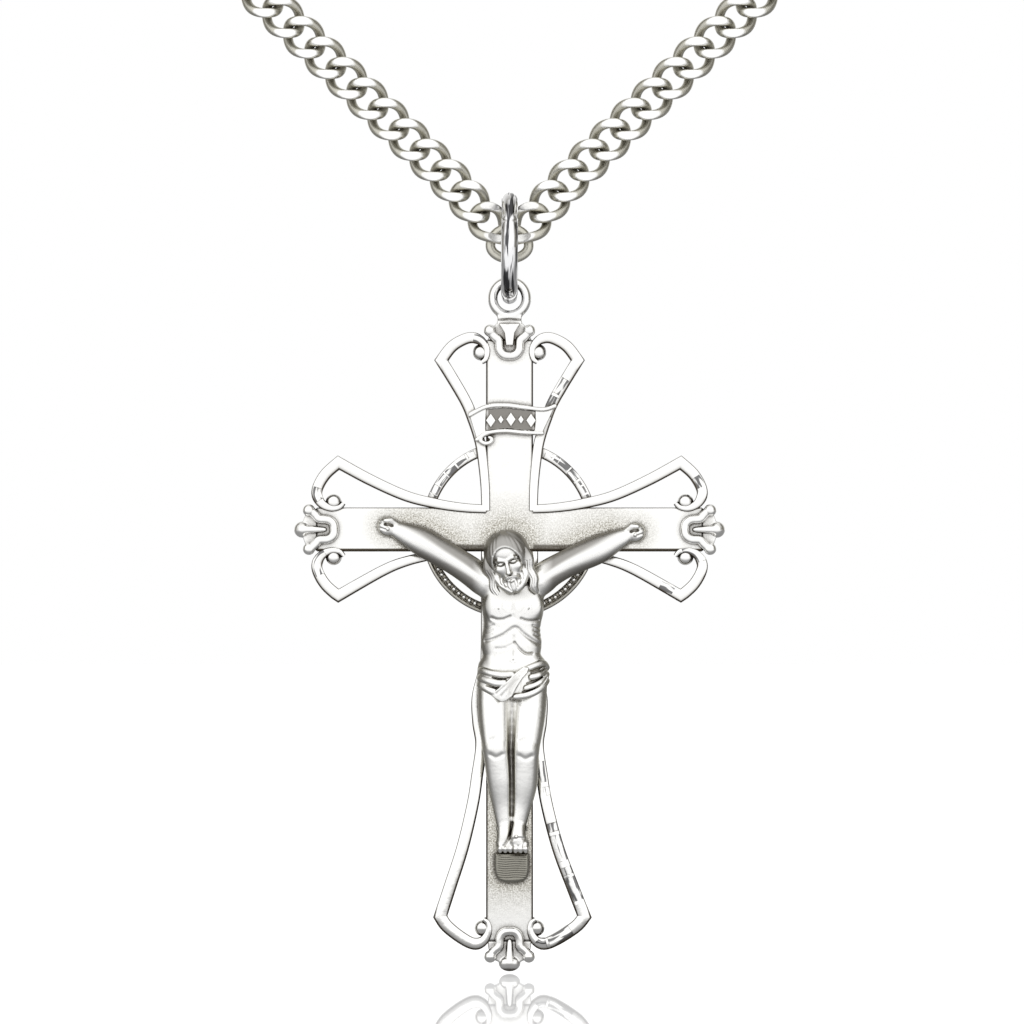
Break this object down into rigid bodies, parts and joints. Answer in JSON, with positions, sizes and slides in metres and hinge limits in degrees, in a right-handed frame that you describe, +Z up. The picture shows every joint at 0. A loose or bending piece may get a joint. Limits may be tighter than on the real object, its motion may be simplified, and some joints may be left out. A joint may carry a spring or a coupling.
{
  "type": "crucifix pendant on a chain",
  "caption": "Silver crucifix pendant with flared openwork arms, nimbus ring and cast figure, hung by a jump ring from a curb chain.",
  "frame": {"origin": "centre of the bounding box in X and Y, at the lowest point of the hanging pendant", "axes": "+Z up along the pendant, the pendant faces -Y"},
  "size_m": [0.0536, 0.0082, 0.0801],
  "materials": {
    "chain_silver": "bright polished curb links with ground flats",
    "rhodium_ring": "mirror bright, slightly darker plating",
    "clasp_silver": "polished",
    "figure_silver": "satin silver with darkened recesses",
    "bright_cut_silver": "polished, diamond cut facets",
    "polished_silver": "polished",
    "satin_silver": "fine satin, sand textured and darkened in the recesses"
  },
  "bodies": {
    "chain_ends": {"clasp_case": "clasp_silver", "clasp_eye": "clasp_silver", "end_tag": "clasp_silver"},
    "links_12": {"left_link_12": "chain_silver", "right_link_12": "chain_silver"},
    "links_11": {"left_link_11": "chain_silver", "right_link_11": "chain_silver"},
    "links_10": {"left_link_10": "chain_silver", "right_link_10": "chain_silver"},
    "links_09": {"left_link_09": "chain_silver", "right_link_09": "chain_silver"},
    "links_08": {"left_link_08": "chain_silver", "right_link_08": "chain_silver"},
    "links_07": {"left_link_07": "chain_silver", "right_link_07": "chain_silver"},
    "links_06": {"left_link_06": "chain_silver", "right_link_06": "chain_silver"},
    "links_05": {"left_link_05": "chain_silver", "right_link_05": "chain_silver"},
    "links_04": {"left_link_04": "chain_silver", "right_link_04": "chain_silver"},
    "links_03": {"left_link_03": "chain_silver", "right_link_03": "chain_silver"},
    "links_02": {"left_link_02": "chain_silver", "right_link_02": "chain_silver"},
    "links_01": {"left_link_01": "chain_silver", "right_link_01": "chain_silver"},
    "links_00": {"left_link_00": "chain_silver", "right_link_00": "chain_silver"},
    "apex": {"apex_link": "chain_silver"},
    "ring": {"jump_ring": "rhodium_ring"},
    "pendant": {"upright_beam": "satin_silver", "crossbar": "satin_silver", "top_rail_left": "bright_cut_silver", "top_rail_right": "bright_cut_silver", "foot_rail_left": "bright_cut_silver", "foot_rail_right": "bright_cut_silver", "left_arm_upper_rail": "bright_cut_silver", "left_arm_lower_rail": "bright_cut_silver", "right_arm_upper_rail": "bright_cut_silver", "right_arm_lower_rail": "bright_cut_silver", "top_volute_pearls": "polished_silver", "left_volute_pearls": "polished_silver", "right_volute_pearls": "polished_silver", "foot_volute_pearls": "polished_silver", "left_palmette": "polished_silver", "right_palmette": "polished_silver", "foot_palmette": "polished_silver", "top_palmette": "polished_silver", "bail_eye": "polished_silver", "title_scroll": "satin_silver", "scroll_ornament": "satin_silver", "nimbus_upper_arcs": "bright_cut_silver", "nimbus_lower_arcs": "bright_cut_silver", "nimbus_beads": "bright_cut_silver", "corpus": "figure_silver", "loincloth": "figure_silver", "foot_block": "figure_silver"},
    "clasp_slide": {"clasp_slider": "clasp_silver"}
  },
  "joints": [
    {"name": "links_12_swing", "type": "hinge", "parent": "chain_ends", "child": "links_12", "pos_m": [0, 0, 0.07401], "axis": [1, 0, 0], "range_deg": [-3, 3]},
    {"name": "links_11_swing", "type": "hinge", "parent": "links_12", "child": "links_11", "pos_m": [0, 0, 0.07253], "axis": [1, 0, 0], "range_deg": [-3, 3]},
    {"name": "links_10_swing", "type": "hinge", "parent": "links_11", "child": "links_10", "pos_m": [0, 0, 0.07102], "axis": [1, 0, 0], "range_deg": [-3, 3]},
    {"name": "links_09_swing", "type": "hinge", "parent": "links_10", "child": "links_09", "pos_m": [0, 0, 0.06951], "axis": [1, 0, 0], "range_deg": [-3, 3]},
    {"name": "links_08_swing", "type": "hinge", "parent": "links_09", "child": "links_08", "pos_m": [0, 0, 0.06801], "axis": [1, 0, 0], "range_deg": [-3, 3]},
    {"name": "links_07_swing", "type": "hinge", "parent": "links_08", "child": "links_07", "pos_m": [0, 0, 0.0665], "axis": [1, 0, 0], "range_deg": [-3, 3]},
    {"name": "links_06_swing", "type": "hinge", "parent": "links_07", "child": "links_06", "pos_m": [0, 0, 0.065], "axis": [1, 0, 0], "range_deg": [-3, 3]},
    {"name": "links_05_swing", "type": "hinge", "parent": "links_06", "child": "links_05", "pos_m": [0, 0, 0.06349], "axis": [1, 0, 0], "range_deg": [-3, 3]},
    {"name": "links_04_swing", "type": "hinge", "parent": "links_05", "child": "links_04", "pos_m": [0, 0, 0.06198], "axis": [1, 0, 0], "range_deg": [-3, 3]},
    {"name": "links_03_swing", "type": "hinge", "parent": "links_04", "child": "links_03", "pos_m": [0, 0, 0.06048], "axis": [1, 0, 0], "range_deg": [-3, 3]},
    {"name": "links_02_swing", "type": "hinge", "parent": "links_03", "child": "links_02", "pos_m": [0, 0, 0.05896], "axis": [1, 0, 0], "range_deg": [-3, 3]},
    {"name": "links_01_swing", "type": "hinge", "parent": "links_02", "child": "links_01", "pos_m": [0, 0, 0.0574], "axis": [1, 0, 0], "range_deg": [-3, 3]},
    {"name": "links_00_swing", "type": "hinge", "parent": "links_01", "child": "links_00", "pos_m": [0, 0, 0.05579], "axis": [1, 0, 0], "range_deg": [-3, 3]},
    {"name": "apex_swing", "type": "hinge", "parent": "links_00", "child": "apex", "pos_m": [0, 0, 0.05436], "axis": [1, 0, 0], "range_deg": [-3, 3]},
    {"name": "ring_swing", "type": "hinge", "parent": "apex", "child": "ring", "pos_m": [0, 0, 0.0559], "axis": [1, 0, 0], "range_deg": [-12, 12]},
    {"name": "pendant_swing", "type": "hinge", "parent": "ring", "child": "pendant", "pos_m": [0, 0, 0.04976], "axis": [0, 1, 0], "range_deg": [-30, 30]},
    {"name": "clasp_slide_turn", "type": "hinge", "parent": "chain_ends", "child": "clasp_slide", "pos_m": [-0.0242, 0, 0.07759], "axis": [0.5341, -0.6428, 0.5492], "range_deg": [0, 48], "stiffness_Nm_per_rad": 0.0002, "springref_deg": -17.19}
  ]
}
